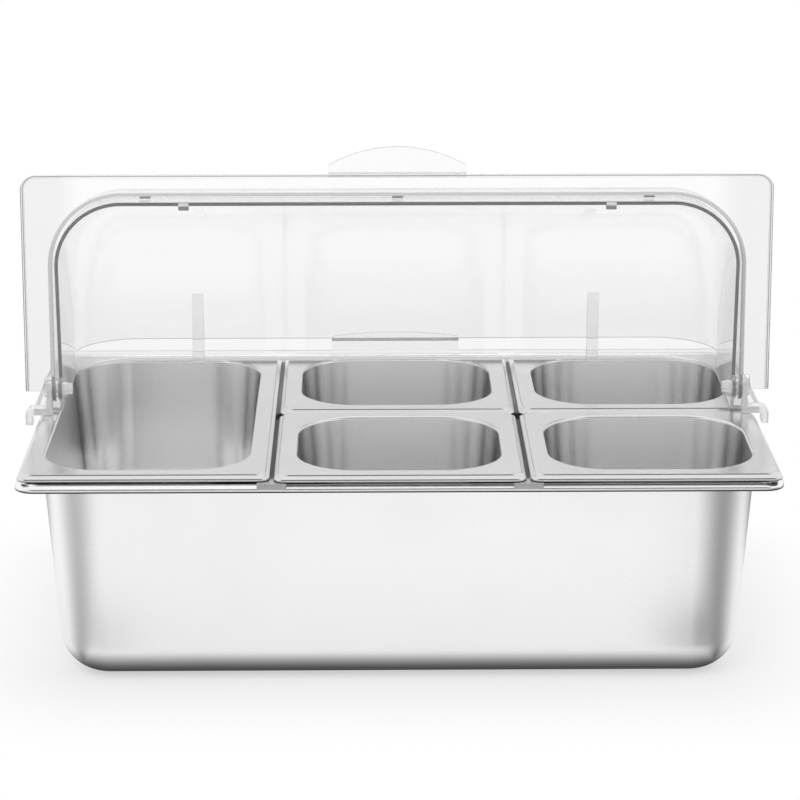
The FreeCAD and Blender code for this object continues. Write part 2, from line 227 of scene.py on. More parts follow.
def add_pan(node, size, body, slot):
    """Pan surface: at each profile point a rounded rectangle, inset from the rim, whose corner radius
    is the rim's corner out at the edge and the wall's corner from the mouth inwards."""
    low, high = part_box(node)
    middle = (low + high) / 2
    half_x, half_y = (high.x - low.x) / 2, (high.y - low.y) / 2
    size = {**size, "top": high.z, "depth": high.z - low.z}
    profile, part, mouth_inset = pan_profile(size)
    inset, height, facing_up = profile.T
    wall_centre = size["flat"] + size["wall_corner"]
    bends = [0, EDGE_BAND, mouth_inset, wall_centre]
    corner = np.interp(inset, bends, [size["rim_corner"] - bends[0], size["rim_corner"] - bends[1],
                                      wall_centre - bends[2], 0])[:, None]
    facing, share_x, share_y = ring_stations(size["per_corner"], size["per_side"])
    x = (half_x - inset[:, None] - corner) * share_x + corner * np.cos(facing) + middle.x
    y = (half_y - inset[:, None] - corner) * share_y + corner * np.sin(facing) + middle.y
    rows, columns = x.shape
    centres = [[middle.x, middle.y, height[0]], [middle.x, middle.y, height[-1]]]
    points = np.concatenate([together(x, y, height[:, None]).reshape(-1, 3), centres])
    up = np.radians(facing_up)[:, None]
    normals = together(-np.cos(up) * np.cos(facing), -np.cos(up) * np.sin(facing), np.sin(up))
    normals = np.concatenate([normals.reshape(-1, 3), [[0, 0, 1], [0, 0, -1]]])
    quads = grid_quads(rows, columns, closed=True)[:, ::-1]
    around = np.arange(columns)
    after = (around + 1) % columns
    last = (rows - 1) * columns
    fans = np.concatenate([together(rows * columns, around, after),
                           together(rows * columns + 1, last + after, last + around)])
    faces = quads.tolist() + fans.tolist()
    piece = add_piece(node + "_sheet", points, faces, body, slot, node)
    piece.data.normals_split_custom_set_from_vertices(normals.tolist())
    along_sheet(piece, x, y, inset, height, points[fans.ravel(), :2])
    quad_part = np.where(part[:-1] == part[1:], part[:-1], RIM)
    finish = np.repeat(np.concatenate([quad_part, [WELL, RIM]]), columns)
    piece.data.polygons.foreach_set("material_index", finish.astype(np.int32))
    return piece


def along_sheet(piece, x, y, inset, height, flat):
    """UV map in metres: how far round the rim and how far along the profile each point lies, and on the
    floor and underside simply its place in plan."""
    widest = np.argmin(inset)
    ring = together(x[widest], y[widest])
    around = np.concatenate([[0], np.cumsum(np.linalg.norm(np.roll(ring, -1, axis=0) - ring, axis=1))])
    down = np.concatenate([[0], np.cumsum(np.hypot(np.diff(inset), np.diff(height)))])
    here, there = np.meshgrid(np.arange(len(down) - 1), np.arange(len(ring)), indexing="ij")
    row = together(here + 1, here + 1, here, here)
    column = together(there, there + 1, there + 1, there)
    sheet = together(around[column], down[row]).reshape(-1, 2)
    uv = piece.data.uv_layers.new(name="along sheet")
    uv.data.foreach_set("uv", np.concatenate([sheet, flat]).ravel())


# %% [markdown]
# The deep pan and the small ones differ only in their sizes. Their lengths, widths and heights come from
# the frame, and what follows is the sheet, the bends and how finely each is drawn.

# %% Pans
# The hem band's height sets how far up the near-black finish of cut edge and painted shade reaches.
DEEP_PAN = {
    "sheet": 0.9 * MM, "flat": 15 * MM, "skirt": 5.5 * MM, "rim_corner": 14 * MM, "sheared": 0.7 * MM,
    "mouth": 2.2 * MM, "wall_corner": 45 * MM, "draft": 4.3, "foot": 30 * MM,
    "per_corner": 24, "per_side": 12,
}
SMALL_PAN = {
    "sheet": 0.7 * MM, "flat": 15 * MM, "skirt": 4.7 * MM, "rim_corner": 7 * MM, "sheared": 0.15 * MM,
    "mouth": 2 * MM, "wall_corner": 42 * MM, "draft": 4.5, "foot": 16 * MM,
    "per_corner": 20, "per_side": 8,
}
SMALL_PAN_NODES = [node for node in frame["nodes"] if node.startswith(("third", "sixth"))]
deep_pan = add_pan("outer_pan", DEEP_PAN, "base", "pan_steel")
small_pans = [add_pan(node, SMALL_PAN, "base", "small_pan_steel") for node in sorted(SMALL_PAN_NODES)]

# %% [markdown]
# A roll-top cover is one moulded sheet of clear plastic: an arch turned about the hinge, carried straight
# down to a flat flange with a small lip, and a round ear at each hinge pin. It could be a solid cut from
# blocks, but clear plastic shows its inner and outer face together, so the inner face is drawn as a
# sheet, and a modifier adds the thickness, which keeps the two faces exactly parallel.

# %% Cover sizes
COVER_WALL = 2.6 * MM
EAR_RADIUS = 9 * MM
PIN_HOLE = 4.55 * MM
FLANGE_START = 0.9 * MM
FLANGE_CORNER = 11 * MM
LIP_HEIGHT = 4.8 * MM
FLANGE_SIDE = 18.7 * MM
FLANGE_FRONT = 13.2 * MM
FOOT_BEND = 2.8 * MM
ARCH_STEPS = 45
SKIRT_STEPS = 4
BEND_STEPS = 5
EAR_TURN = np.linspace(math.acos(FLANGE_START / EAR_RADIUS), 0, 9)
FIRST_SHARE = 0.3
REAR_CORNER = 47 * MM
NEST_GAP_ROUND = 1.8 * MM
NEST_GAP_END = 2 * MM
OPEN_ANGLE = 93
rear_low, rear_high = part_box("rear_cover")
front_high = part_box("front_cover")[1]
REAR_COVER = {
    "node": "rear_cover", "body": "rear_lid", "is_open": False,
    "radius": rear_high.z - AXIS_HEIGHT - COVER_WALL,
    "half": rear_high.x - FLANGE_SIDE - COVER_WALL,
    "corner": REAR_CORNER, "end": 94.5, "drop": AXIS_HEIGHT - rear_low.z, "notch": 0, "notch_length": 0,
}
REAR_COVER["reach"] = REAR_COVER["radius"] + COVER_WALL + FLANGE_FRONT
FRONT_COVER = {
    "node": "front_cover", "body": "front_lid", "is_open": True,
    "radius": REAR_COVER["radius"] + COVER_WALL + NEST_GAP_ROUND,
    "half": front_high.x - FLANGE_SIDE - COVER_WALL,
    "corner": REAR_CORNER + COVER_WALL + NEST_GAP_END, "end": 87, "drop": 11.9 * MM,
    "notch": 7.4 * MM, "notch_length": 11.5 * MM,
}
FRONT_COVER["reach"] = FRONT_COVER["radius"] + COVER_WALL + FLANGE_FRONT
print("rear radius", round(REAR_COVER["radius"], 4), "front radius", round(FRONT_COVER["radius"], 4))

# %% [markdown]
# The arch is followed from its left foot to the middle, and the right half is its mirror image. Every
# station has a point on the wall and one on the flange's edge, so the same stations serve the arch, the
# straight skirt, the flange and the lip. Below the hinge's ear only the skirt and flange go on.


# %% Cover stations
def half_outline(up, along, half, reach, corner, steps):
    """Left half of an outline in plan, and the directions round its corner: up a straight end, round a
    quarter circle and along half of the long side."""
    turn = np.linspace(math.pi, math.pi / 2, steps + 1)[1:]
    x = np.concatenate([np.full(up.size, -half), corner - half + corner * np.cos(turn), along])
    y = np.concatenate([up, reach - corner + corner * np.sin(turn), np.full(along.size, reach)])
    return together(x, y), turn


def cover_stations(size):
    """Left half of a cover in plan: wall points, the way each one faces, flange edge points, which turn a
    smaller corner, and how many of the first stations lie under the ear."""
    half, radius, corner, reach = size["half"], size["radius"], size["corner"], size["reach"]
    flange_half = half + COVER_WALL + FLANGE_SIDE
    under_ear = EAR_RADIUS * np.cos(EAR_TURN[:-1])
    up_end = np.linspace(EAR_RADIUS, radius - corner, 14)
    if size["notch_length"]:
        up_end = np.sort(np.append(up_end, size["notch_length"]))
    side_steps, bend_steps = 12, 14
    up = np.append(under_ear, up_end)
    along = np.linspace(corner - half, 0, 10)[1:]
    wall, turn = half_outline(up, along, half, radius, corner, 2 * side_steps + bend_steps)
    edge_up = np.linspace(radius - corner, reach - FLANGE_CORNER, side_steps + 1)[1:]
    edge_along = np.linspace(FLANGE_CORNER - flange_half, corner - half, side_steps + 1)[1:]
    edge = half_outline(np.append(up, edge_up), np.append(edge_along, along), flange_half, reach,
                        FLANGE_CORNER, bend_steps)[0]
    facing = np.concatenate([np.full(up.size, math.pi), turn, np.full(along.size, math.pi / 2)])
    return wall, together(np.cos(facing), np.sin(facing)), edge, under_ear.size


def mirrored_rows(rows):
    """A left half and its mirror image, without repeating the middle station."""
    other = rows[-2::-1].copy()
    other[:, 0] *= -1
    return np.concatenate([rows, other])


# %% [markdown]
# Arch, skirt, bend, flange and lip are the columns of one grid. The arch turns a wall point about the
# hinge, so a point at distance y from it goes to y times the cosine and sine of the angle. The skirt runs
# into the flange through a small bend, because a sharp fold would pipe light away and look black. Two
# rings close the sheet round the pin holes. The places where the parts meet are then merged.


# %% Cover sheet
def cover_sheet(size):
    """Points and quads of a closed cover about the hinge axis, its flange towards +Y."""
    *halves, feet = cover_stations(size)
    wall, outward, edge = [mirrored_rows(half) for half in halves]
    stations, drop = len(wall), size["drop"]
    arch_angle = np.radians(np.linspace(size["end"], 0, ARCH_STEPS))
    arch = together(wall[:, :1], wall[:, 1:] * np.cos(arch_angle), wall[:, 1:] * np.sin(arch_angle))
    under_ear = np.clip(EAR_RADIUS**2 - wall[:, 1]**2, 0, None)
    skirt_top = -np.sqrt(under_ear)[:, None]
    share = np.linspace(0, 1, SKIRT_STEPS)[None, :]
    level = skirt_top * (1 - share) + (FOOT_BEND - drop) * share
    skirt = together(wall[:, :1], wall[:, 1:], level)
    turn = np.radians(np.linspace(0, 90, BEND_STEPS + 1))[1:]
    bend = wall[:, None] + outward[:, None] * (FOOT_BEND * (1 - np.cos(turn)))[None, :, None]
    bend = together(bend[:, :, 0], bend[:, :, 1], FOOT_BEND * (1 - np.sin(turn)) - drop)
    start = wall + outward * FOOT_BEND
    first_share = FIRST_SHARE
    if size["notch"]:
        first_share = (size["notch"] - FOOT_BEND) / (COVER_WALL + FLANGE_SIDE - FOOT_BEND)
    share = np.array([first_share, 0.7, 1])[None, :, None]
    flange = start[:, None] * (1 - share) + edge[:, None] * share
    flange = together(flange[:, :, 0], flange[:, :, 1], -drop)
    lip = np.repeat(flange[:, -1:], 2, axis=1)
    lip[:, :, 2] += LIP_HEIGHT * np.array([0.5, 1])
    grid = np.concatenate([arch, skirt[:, 1:], bend, flange, lip], axis=1)
    columns = grid.shape[1]
    quads = grid_quads(stations, columns)
    row, column = quads[:, 0] // columns, quads[:, 0] % columns
    outer_row = np.minimum(row, stations - 2 - row)
    shell_end = ARCH_STEPS - 1
    keep = (outer_row >= feet) | (column >= shell_end)
    grid[:feet, shell_end] = skirt[:feet, 0]
    grid[stations - feet:, shell_end] = skirt[stations - feet:, 0]
    if size["notch"]:
        skirt_end = shell_end + SKIRT_STEPS - 1
        beside_notch = np.maximum(grid[row, -1, 1], grid[row + 1, -1, 1]) <= size["notch_length"] + 1e-9
        keep &= ~(beside_notch & (column >= skirt_end) & (column <= skirt_end + BEND_STEPS))
    return grid, quads[keep]


def ear_ring(size, side):
    """Flat ring round a pin hole on one end wall: a circle's points at the ear's radius and the hole's,
    with the same angles as the arch and the skirt that it meets."""
    beside_arch = np.radians(np.linspace(0, size["end"], ARCH_STEPS))[1:]
    free = np.linspace(beside_arch[-1], 2 * math.pi - EAR_TURN[0], 18)[1:-1]
    angle = np.concatenate([-EAR_TURN, beside_arch, free])
    radius = np.array([EAR_RADIUS, (EAR_RADIUS + PIN_HOLE) / 2, PIN_HOLE])[:, None]
    points = together(side * size["half"], radius * np.cos(angle), radius * np.sin(angle))
    return points.reshape(-1, 3), grid_quads(3, angle.size, closed=True)


def welded(points, faces):
    """Points merged where they share a place to a hundredth of a millimetre, faces to match, and each old
    point's new number."""
    place = np.round(points / (0.01 * MM)).astype(np.int64)
    first, which = np.unique(place, axis=0, return_index=True, return_inverse=True)[1:]
    which = which.reshape(-1)
    return points[first], which[faces], which


# %% [markdown]
# The front cover is drawn closed like the rear one, then turned to face forward and swung open about the
# hinge, as the frame holds it. The turn is worked into the points, so the object itself stays unturned.


# %% Place a cover
def swung(points, angle):
    """Points turned about X: y and z mix by the cosine and sine of the angle."""
    x, y, z = points.T
    cosine, sine = math.cos(angle), math.sin(angle)
    return together(x, y * cosine - z * sine, y * sine + z * cosine)


def placed(points, is_open):
    """Points about the hinge axis brought to where the frame has them. Those of the open cover are first
    turned half round about Z, and then back about X."""
    if is_open:
        points = swung(points * [-1, -1, 1], math.radians(-OPEN_ANGLE))
    return points + [0, 0, AXIS_HEIGHT]


def settle_faces(piece, middle=None):
    """Makes all faces look one way: out of a closed solid, or, on an open sheet, towards a middle. A face's
    area times the outward part of its direction, added up, is above zero where most faces look out."""
    work = bmesh.new()
    work.from_mesh(piece.data)
    bmesh.ops.recalc_face_normals(work, faces=work.faces)
    if middle is not None:
        looks_out = sum(f.calc_area() * f.normal.dot(f.calc_center_median() - middle) for f in work.faces)
        if looks_out > 0:
            bmesh.ops.reverse_faces(work, faces=work.faces)
    work.to_mesh(piece.data)
    work.free()


def mark_lip(mesh, lip):
    """Bevel weight of one on the edges along the lip's top."""
    ends = np.empty(2 * len(mesh.edges), dtype=np.int32)
    mesh.edges.foreach_get("vertices", ends)
    weight = np.isin(ends.reshape(-1, 2), lip).all(axis=1).astype(np.float32)
    mesh.attributes.new("bevel_weight_edge", "FLOAT", "EDGE").data.foreach_set("value", weight)


def ease(piece, name, width, segments, method, slot=-1):
    """Bevel modifier, on marked edges or on sharp ones. Its faces take the finish of one slot, or, at -1,
    of the faces beside them."""
    eased = piece.modifiers.new(name, "BEVEL")
    eased.width, eased.segments, eased.limit_method = width, segments, method
    eased.angle_limit = math.radians(40)
    eased.material = slot


# %% [markdown]
# Clear plastic looks darker where it is thick or cut; here that darkness is painted shade, so the sheet's
# parts take finishes of their own. Which part a quad lies in follows from its column, counted back from the
# lip's top. The Solidify modifier gives the outer face and the cut rims finishes further down the list, and
# Bevel rounds the lip like a bead.

# %% Build the covers
SHEET, AT_FREE_EDGE, AT_FOOT, AT_FLANGE = 0, 1, 2, 3
SHEET_PARTS = 4
LAST_OF_LIP = 3
LAST_OF_FLANGE = 6


def add_cover(name, size):
    """Cover sheet with its thickness added on the outside, a rounded lip and eased edges. Its slots are for
    the parts of the inner face, then of the outer face, then of the cut rims."""
    grid, quads = cover_sheet(size)
    columns = grid.shape[1]
    lip = np.arange(columns - 1, grid.shape[0] * columns, columns)
    points, faces = [grid.reshape(-1, 3)], [quads]
    for side in (-1, 1):
        ring, ring_quads = ear_ring(size, side)
        faces.append(ring_quads + sum(len(p) for p in points))
        points.append(ring)
    column = quads[:, 0] % columns
    from_lip = columns - column
    part = np.full(sum(len(f) for f in faces), SHEET, dtype=np.int32)
    part[:len(quads)] = np.select(
        [column == 0, from_lip <= LAST_OF_LIP, from_lip <= LAST_OF_FLANGE,
         from_lip <= LAST_OF_FLANGE + BEND_STEPS],
        [AT_FREE_EDGE, SHEET, AT_FLANGE, AT_FOOT], SHEET)
    points, faces, which = welded(np.concatenate(points), np.concatenate(faces))
    place = placed(points, size["is_open"])
    piece = add_piece(name, place, faces.tolist(), size["body"], "clear_cover", size["node"])
    piece.data.polygons.foreach_set("material_index", part)
    settle_faces(piece, Vector((0, 0, AXIS_HEIGHT)))
    mark_lip(piece.data, which[lip])
    thickness = piece.modifiers.new("wall", "SOLIDIFY")
    thickness.thickness = COVER_WALL
    thickness.offset = -1
    thickness.use_even_offset = True
    thickness.use_quality_normals = True
    thickness.material_offset = SHEET_PARTS
    thickness.material_offset_rim = 2 * SHEET_PARTS
    ease(piece, "rounded lip", 0.8 * MM, 3, "WEIGHT", SHEET)
    ease(piece, "eased edges", 0.4 * MM, 2, "ANGLE")
    piece.modifiers.new("flat shading", "WEIGHTED_NORMAL")
    return piece


rear_cover = add_cover("rear_cover_sheet", REAR_COVER)
front_cover = add_cover("front_cover_sheet", FRONT_COVER)

# %% [markdown]
# Each cover is opened by a lens-shaped pull: a low riser on the flange's edge, and a thin tab on top that
# bows outwards. It could be part of the sheet, but a closed solid of its own keeps its corners crisp and
# bends light as a real lump of plastic does. One section, an upside-down L, is carried along the
# cover, and only the tab's outer end moves.

# %% Pulls
HANDLE_HALF = 50 * MM
HANDLE_RISER = 10 * MM
HANDLE_REACH = 18.5 * MM
HANDLE_END_REACH = 5 * MM
HANDLE_SHEET = 2.5 * MM
HAIR = 0.03 * MM


def add_clear_solid(name, shape, cover, edge):
    """Closed lump of clear plastic on a cover, with eased edges. A shape is points and faces, and where it
    has several finishes also a slot for each face."""
    points, faces, *part = shape
    place = placed(points, cover["is_open"])
    piece = add_piece(name, place, faces, cover["body"], "clear_cover", cover["node"])
    if part:
        piece.data.polygons.foreach_set("material_index", part[0])
    settle_faces(piece)
    ease(piece, "eased edges", edge, 3, "ANGLE")
    piece.modifiers.new("flat shading", "WEIGHTED_NORMAL")
    return piece


def capped(points):
    """Points and faces of a tube from closed rows of points, its first and last row filled."""
    rows, columns = points.shape[:2]
    ends = [list(range(columns)), list(range((rows - 1) * columns, rows * columns))]
    return points.reshape(-1, 3), grid_quads(rows, columns, closed=True).tolist() + ends


def carried_section(x, y, z, part):
    """Solid from a closed section's y and z, the same or a row for each station along x, and the slot of
    each face: one for every side of the section, and the first side's for the ends."""
    slots = np.append(np.tile(part, len(x) - 1), [part[0]] * 2).astype(np.int32)
    return *capped(together(x[:, None], y, z)), slots


def handle_solid(size, stations=49):
    """Section points carried from end to end. The tab's outer edge is a circular arc through its two
    ends and its middle, so at x it stands back by R minus the root of R squared minus x squared."""
    reach = size["reach"]
    foot = LIP_HEIGHT - size["drop"] + HAIR
    neck = COVER_WALL - size["drop"] + HANDLE_RISER
    top = neck + HANDLE_SHEET
    sagitta = HANDLE_REACH - HANDLE_END_REACH
    bow_radius = (HANDLE_HALF**2 + sagitta**2) / (2 * sagitta)
    x = np.linspace(-HANDLE_HALF, HANDLE_HALF, stations)
    tip = reach + HANDLE_REACH - bow_radius + np.sqrt(bow_radius**2 - x**2)
    inner, outer = reach - COVER_WALL, reach
    y = together(inner, outer, outer, tip, tip, inner, inner)
    z = np.array([foot, foot, neck, neck, top, top, neck])
    return carried_section(x, y, z, [0, 0, 0, 0, 0, 1, 0])


clear_solids = [
    add_clear_solid("rear_handle", handle_solid(REAR_COVER), REAR_COVER, 0.5 * MM),
    add_clear_solid("front_handle", handle_solid(FRONT_COVER), FRONT_COVER, 0.5 * MM),
]

# %% [markdown]
# Inside the rear cover two ribs stiffen the foot, and two small tabs on the free edge stop the covers from
# running past each other. The front cover has low pads that keep it from scratching the rear one, and a
# washer round each pin. Ribs and pads are rounded blocks, and a block is a pan's profile with two bends: a
# ring that starts underneath, grows round the lower edge, climbs, and draws in round the upper edge.


# %% Blocks and ribs
RIB_OFFSET = 154 * MM
RIB_HALF = 4.5 * MM
RIB_DEPTH = 6 * MM
RIB_SHORT_BY = 2 * MM
RIB_EDGE = 0.9 * MM


def rounded_block(low, high, edge):
    """Block whose edges and corners are part of a ball."""
    low, high = np.array(low), np.array(high)
    half, middle = (high - low) / 2, (high + low) / 2
    lower = arc((edge, low[2] + edge), edge, 270, 180, 4)
    upper = arc((edge, high[2] - edge), edge, 180, 90, 4)
    inset, height = np.concatenate([lower, run(lower[-1], upper[0], 0, 9), upper])[:, :2].T
    corner = (edge - inset)[:, None]
    facing, share_x, share_y = ring_stations(4, 3)
    x = (half[0] - edge) * share_x + corner * np.cos(facing) + middle[0]
    y = (half[1] - edge) * share_y + corner * np.sin(facing) + middle[1]
    return capped(together(x, y, height[:, None]))


def stop_rib(side):
    """Rib whose back follows the inner face of the wall: straight below the hinge's height, and the root
    of the radius squared minus the height squared above it. It ends just below where its front meets
    the wall."""
    radius, front = REAR_COVER["radius"], REAR_COVER["radius"] - RIB_DEPTH
    top = math.sqrt(radius**2 - front**2) - RIB_SHORT_BY
    middle = RIB_OFFSET * side
    points, faces = rounded_block((middle - RIB_HALF, 0, -REAR_COVER["drop"]),
                                  (middle + RIB_HALF, RIB_DEPTH, top), RIB_EDGE)
    wall = np.sqrt(radius**2 - np.clip(points[:, 2], 0, None)**2) - HAIR
    points[:, 1] = front + (wall - front) * points[:, 1] / RIB_DEPTH
    return points, faces


# %% [markdown]
# A tab is a step-shaped section, drawn lying and swung up to the edge, and a washer is a rectangle turned
# about the hinge. Blocks would be simpler, but they wouldn't hook over the edge or go round the pin.

# %% Tabs, pads and washers
TAB_HALF = 3.75 * MM
TAB_INSIDE = 3.2 * MM
TAB_BELOW_TOP = 0.4 * MM
TAB_BACK = 2.5 * MM
TAB_FRONT = 1 * MM
PAD_OFFSET = 182 * MM
PAD_HALF = 4 * MM
PAD_HEIGHT = 1.2 * MM
PAD_LENGTH = 5 * MM
PAD_EDGE = 0.4 * MM
WASHER_RADIUS = 8 * MM
WASHER_SHEET = 1.5 * MM


def edge_tab(side):
    """Small tab hooked over the arch's free edge."""
    radius = REAR_COVER["radius"]
    inner, under, outer = radius - TAB_INSIDE, radius - HAIR, radius + COVER_WALL - TAB_BELOW_TOP
    back, face, front = -TAB_BACK, HAIR, TAB_FRONT
    x = RIB_OFFSET * side + np.array([-TAB_HALF, TAB_HALF])
    y = np.array([inner, under, under, outer, outer, under, inner])
    z = np.array([back, back, face, face, front, front, front])
    points, faces, part = carried_section(x, y, z, [0, 0, 0, 1, 1, 0, 0])
    return swung(points, math.radians(REAR_COVER["end"])), faces, part


def guide_pad(offset):
    """Low pad on the front cover's inner face, at its foot."""
    radius, foot = FRONT_COVER["radius"], -FRONT_COVER["drop"]
    return rounded_block((offset - PAD_HALF, radius - PAD_HEIGHT, foot),
                         (offset + PAD_HALF, radius - HAIR, foot + PAD_LENGTH), PAD_EDGE)


def pin_washer(side, steps=40):
    """Ring round the hinge axis, its last row of points joined to the first."""
    outer = side * (FRONT_COVER["half"] - HAIR)
    inner = side * (FRONT_COVER["half"] - WASHER_SHEET)
    x = np.array([outer, outer, inner, inner])
    radius = np.array([PIN_HOLE, WASHER_RADIUS, WASHER_RADIUS, PIN_HOLE])
    angle = np.linspace(0, 2 * math.pi, steps, endpoint=False)[:, None]
    points = together(x, radius * np.cos(angle), radius * np.sin(angle)).reshape(-1, 3)
    return points, (grid_quads(steps + 1, 4, closed=True) % len(points)).tolist()


for side, word in ((-1, "left"), (1, "right")):
    clear_solids += [
        add_clear_solid("rear_rib_" + word, stop_rib(side), REAR_COVER, 0.1 * MM),
        add_clear_solid("rear_edge_tab_" + word, edge_tab(side), REAR_COVER, 0.3 * MM),
        add_clear_solid("front_washer_" + word, pin_washer(side), FRONT_COVER, 0.2 * MM),
    ]
for offset, word in ((PAD_OFFSET, "left"), (0, "middle"), (-PAD_OFFSET, "right")):
    clear_solids.append(add_clear_solid("front_guide_pad_" + word, guide_pad(offset), FRONT_COVER, 0.1 * MM))

# %% [markdown]
# The bars, brackets and pins are small and already the right shape in the frame, so they stay. Their
# meshes are loose triangles with hard edges. A Weld modifier joins the triangles and a Bevel eases the
# edges, which catches a thin line of light along them as on a real moulding.

# %% Small hinge pieces and bars
EASED_BY = {"hinge_bracket": 0.6 * MM, "pivot_pin": 0.3 * MM, "support_bar": 0.5 * MM}
WELD_REACH = 0.005 * MM
for kind, width in EASED_BY.items():
    for node in (kind + "_left", kind + "_right"):
        part = frame["nodes"][node]
        part.modifiers.new("joined", "WELD").merge_threshold = WELD_REACH
        ease(part, "eased edges", width, 3, "ANGLE")
        part.modifiers.new("flat shading", "WEIGHTED_NORMAL")
        print(node, "eased by", width / MM, "mm")

# %% [markdown]
# A finish is a tree of nodes. One helper adds a node, sets its properties and fills or links its sockets,
# and another starts a group, which is a tree with named inputs and outputs that several finishes share.


# %% Node helpers
def fill(tree, node, sockets):
    """Gives each named socket of a node a value, or another node's socket to link."""
    for name, value in sockets.items():
        if isinstance(value, bpy.types.NodeSocket):
            tree.links.new(value, node.inputs[name])
        else:
            node.inputs[name].default_value = value


def add_node(tree, kind, sockets=None, **settings):
    """Shader node of one kind, with its settings and its filled sockets."""
    added = tree.nodes.new("ShaderNode" + kind)
    for name, value in settings.items():
        setattr(added, name, value)
    fill(tree, added, sockets or {})
    return added


def number(tree, operation, first, *others):
    """Result of a sum or comparison of numbers, carried on from left to right where there are several."""
    for other in others or (0.0,):
        first = add_node(tree, "Math", {0: first, 1: other}, operation=operation).outputs[0]
    return first


def axes_of(tree, kind="Object"):
    """The three numbers of a place, in one kind of coordinates."""
    place = add_node(tree, "TexCoord").outputs[kind]
    return add_node(tree, "SeparateXYZ", {0: place}).outputs


def ramp(tree, value, start, end, low=0.0, high=1.0):
    """Value that eases from low at start to high at end."""
    sockets = {"Value": value, "From Min": start, "From Max": end, "To Min": low, "To Max": high}
    return add_node(tree, "MapRange", sockets, interpolation_type="SMOOTHSTEP").outputs[0]


def speckle(tree, vector, scale, detail=2.0, rough=0.5):
    """Even noise about one half."""
    sockets = {"Vector": vector, "Scale": scale, "Detail": detail, "Roughness": rough}
    return add_node(tree, "TexNoise", sockets).outputs[0]


def new_group(name, inputs, outputs):
    """Empty group with named inputs and outputs, the sockets that it is given, and its end node."""
    group = bpy.data.node_groups.new(name, "ShaderNodeTree")
    for label, kind, value in inputs:
        group.interface.new_socket(label, in_out="INPUT", socket_type=kind).default_value = value
    for label, kind in outputs:
        group.interface.new_socket(label, in_out="OUTPUT", socket_type=kind)
    return group, group.nodes.new("NodeGroupInput").outputs, group.nodes.new("NodeGroupOutput")


def new_finish(name):
    """New material, its tree and its shader."""
    material = bpy.data.materials.new(name)
    material.use_nodes = True
    return material, material.node_tree, material.node_tree.nodes["Principled BSDF"]


def mix_surface(tree, share, first, second):
    """Surface that is one shader, or by its share another."""
    mixed = add_node(tree, "MixShader", {0: share, 1: first.outputs[0], 2: second.outputs[0]})
    fill(tree, tree.nodes["Material Output"], {"Surface": mixed.outputs[0]})


# %% [markdown]
# Pressed steel sheet is never quite even. Rolling leaves fine lines along the sheet, washing up leaves
# soft smudges, and stacking leaves short scratches. All steel pieces share this group: fine lines are noise
# stretched along the sheet, smudges are slow noise in space, and scratches are the tips of another
# stretched noise that is turned a little.

# %% Steel marks
FLOAT, VECTOR, COLOUR = "NodeSocketFloat", "NodeSocketVector", "NodeSocketColor"
SMUDGE_TONE = 0.35
LINE_TONE = 0.25
SCRATCH_DEPTH = 0.7
steel_marks, given, end = new_group(
    "steel_marks",
    [("Sheet", VECTOR, (0, 0, 0)), ("Space", VECTOR, (0, 0, 0)), ("Steel", COLOUR, (0.8, 0.8, 0.8, 1)),
     ("Roughness", FLOAT, 0.25), ("Lines", FLOAT, 0.1), ("Smudges", FLOAT, 0.1), ("Scratches", FLOAT, 0.1)],
    [("Colour", COLOUR), ("Roughness", FLOAT), ("Height", FLOAT)])
tree = steel_marks
stretched = add_node(tree, "Mapping", {"Vector": given["Sheet"], "Scale": (14, 2600, 1)})
lines = speckle(tree, stretched.outputs[0], 1.0, 2.0, 0.6)
aslant = add_node(tree, "Mapping",
                  {"Vector": given["Sheet"], "Rotation": (0, 0, 0.35), "Scale": (40, 3200, 1)})
scratch = ramp(tree, speckle(tree, aslant.outputs[0], 1.0, 0.0), 0.72, 0.84)
smudge = speckle(tree, given["Space"], 13.0, 3.0, 0.55)
line_part = number(tree, "MULTIPLY", number(tree, "SUBTRACT", lines, 0.5), given["Lines"])
smudge_part = number(tree, "MULTIPLY", number(tree, "SUBTRACT", smudge, 0.5), given["Smudges"])
scratch_part = number(tree, "MULTIPLY", scratch, given["Scratches"])
rough = number(tree, "ADD", given["Roughness"], line_part, smudge_part, scratch_part)
smudge_tone = number(tree, "MULTIPLY", number(tree, "ABSOLUTE", smudge_part), SMUDGE_TONE)
line_tone = number(tree, "MULTIPLY", line_part, LINE_TONE)
tone = number(tree, "ADD", number(tree, "SUBTRACT", 1.0, smudge_tone), line_tone)
colour = add_node(tree, "VectorMath", {0: given["Steel"], "Scale": tone}, operation="SCALE")
height = number(tree, "ADD", line_part, number(tree, "MULTIPLY", scratch_part, -SCRATCH_DEPTH))
fill(tree, end, {"Colour": colour.outputs[0], "Roughness": rough, "Height": height})
print(steel_marks.name, len(steel_marks.nodes), "nodes")

# %% [markdown]
# The pans are satin stainless steel. A metal has no colour of its own beyond its reflections, so the base
# colour is a plain grey, and the roughness decides how soft the reflections are. Round the hem the cut edge
# is rough and nearly black: partly its own dull colour, partly painted shade, which draws a thin dark line
# under the rim. The wells are a paler copy of the small pans' steel, painted light that keeps them from
# reading too dark, and a little smoother. The support bars are rougher between the pans, where nobody
# wipes, and their colour carries painted shade: bright at their ends, darker between the pans, and darkest
# where the gaps between pans cross.


# %% Steel finishes
MARK_DEPTH = 0.02 * MM
BAR_ENDS = (148 * MM, 156 * MM)
BAR_CROSSING = (4 * MM, 12 * MM)
BAR_FRONT_TO_REAR = (-20 * MM, 60 * MM)


